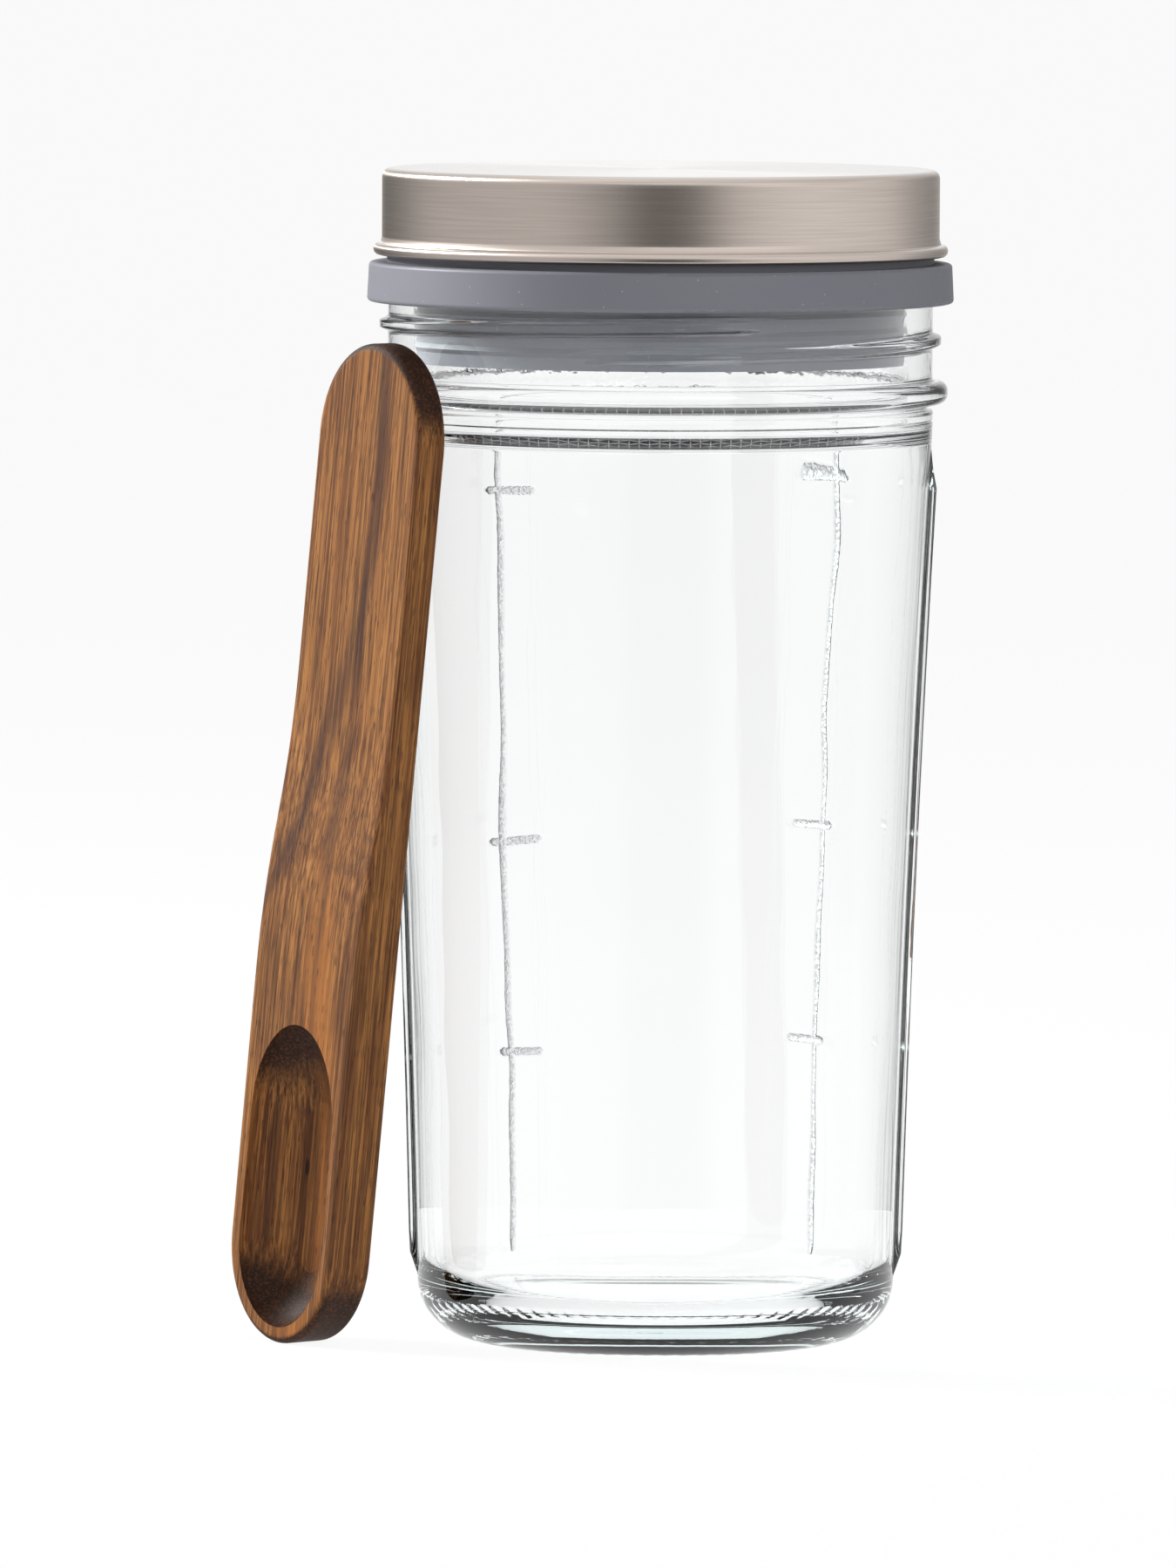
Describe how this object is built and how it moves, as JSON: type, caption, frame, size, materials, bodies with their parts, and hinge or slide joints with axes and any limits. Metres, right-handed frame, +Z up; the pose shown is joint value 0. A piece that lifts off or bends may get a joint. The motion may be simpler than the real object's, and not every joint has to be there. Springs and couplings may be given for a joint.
{
  "type": "fermentation jar",
  "caption": "Tall tapered glass jar for kefir with a silicone strainer ring in its neck, a push-on steel cap, and a wooden scoop leaning against it.",
  "frame": {"origin": "middle of the ring that the jar stands on", "axes": "+Z up along the jar's axis, -Y towards the front, where the spoon leans at the left"},
  "size_m": [0.1271, 0.1038, 0.2075],
  "materials": {
    "pressed_glass": "clear, fire polished",
    "grey_silicone": "matte moulded",
    "woven_wire": "plain weave",
    "folded_steel": "rolled",
    "brushed_cap_steel": "brushed",
    "acacia": "oiled"
  },
  "bodies": {
    "jar": {"glass_jar": "pressed_glass"},
    "strainer": {"silicone_strainer_ring": "grey_silicone", "strainer_mesh": "woven_wire", "mesh_rim": "folded_steel"},
    "cap": {"lid_shell": "brushed_cap_steel"},
    "spoon": {"measuring_spoon": "acacia"}
  },
  "joints": [
    {"name": "strainer_lift", "type": "slide", "parent": "jar", "child": "strainer", "axis": [0, 0, 1], "range_m": [0, 0.06]},
    {"name": "cap_lift", "type": "slide", "parent": "strainer", "child": "cap", "axis": [0, 0, 1], "range_m": [0, 0.06]},
    {"name": "spoon_take", "type": "slide", "parent": "jar", "child": "spoon", "axis": [-0.4979, -0.4179, 0.7599], "range_m": [0, 0.15]}
  ]
}
